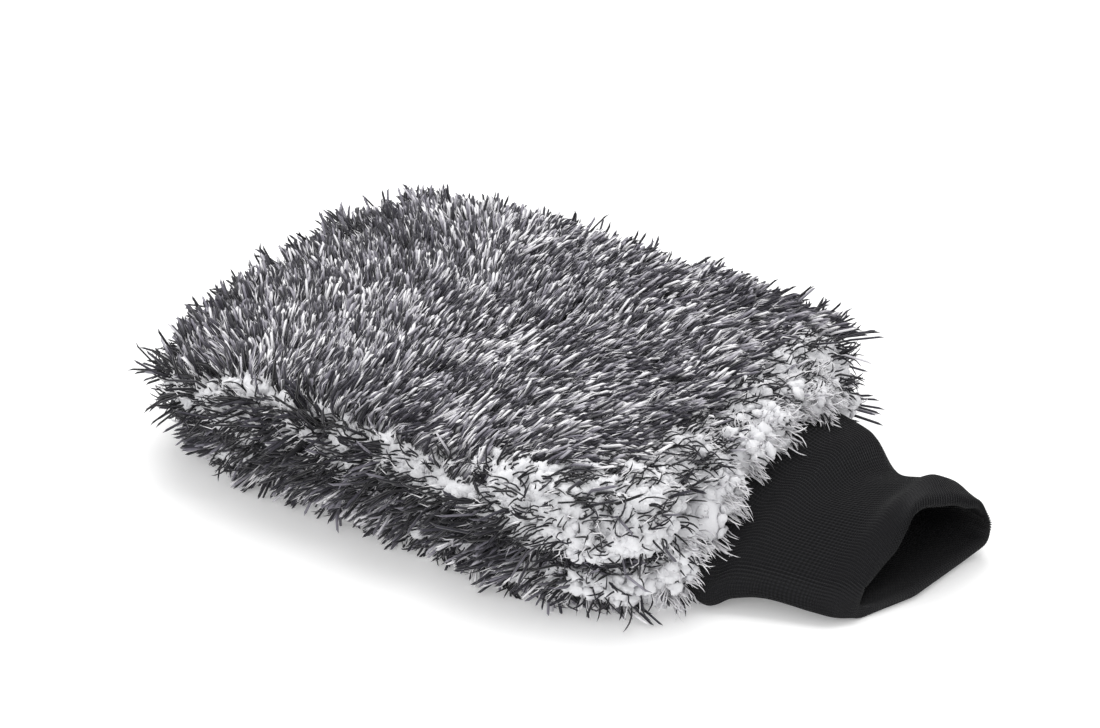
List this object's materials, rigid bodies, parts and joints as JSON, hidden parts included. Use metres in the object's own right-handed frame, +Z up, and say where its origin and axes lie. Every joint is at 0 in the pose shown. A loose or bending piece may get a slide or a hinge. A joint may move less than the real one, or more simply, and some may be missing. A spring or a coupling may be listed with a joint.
{
  "type": "wash mitt",
  "caption": "Plush car-wash mitt: two-panel long-pile shell over foam padding and a lined hand pocket, closed by a folded rib-knit cuff that flexes at its root.",
  "frame": {"origin": "on the resting plane, under the middle of the whole object's box", "axes": "+X along the mitt from finger end to cuff mouth, +Y across it to its far long side, +Z up"},
  "size_m": [0.338, 0.222, 0.058],
  "materials": {
    "long_pile": "long microfibre strands, streaky grey, soft sheen",
    "undercoat": "white curly undercoat, matt",
    "backing_knit": "close warp knit, matt",
    "foam": "open-cell foam, matt",
    "lining_knit": "fine mesh knit, matt",
    "seam_tape": "woven tape, matt",
    "sewing_thread": "spun polyester thread",
    "rib_knit": "near-black rib knit, matt with a faint sheen"
  },
  "bodies": {
    "mitt": {"top_long_pile": "long_pile", "bottom_long_pile": "long_pile", "top_undercoat": "undercoat", "bottom_undercoat": "undercoat", "top_backing": "backing_knit", "bottom_backing": "backing_knit", "top_foam_pad": "foam", "bottom_foam_pad": "foam", "top_lining": "lining_knit", "bottom_lining": "lining_knit", "perimeter_seam_tape": "seam_tape", "cuff_joint_tape": "seam_tape", "perimeter_seam_stitches": "sewing_thread", "lining_finger_tacks": "sewing_thread", "cuff_joint_stitches": "sewing_thread"},
    "cuff": {"rib_cuff": "rib_knit", "cuff_closing_stitches": "sewing_thread"}
  },
  "joints": [
    {"name": "cuff_flex", "type": "hinge", "parent": "mitt", "child": "cuff", "pos_m": [0.094, 0, 0.026], "axis": [0, -1, 0], "range_deg": [-20, 35]}
  ]
}
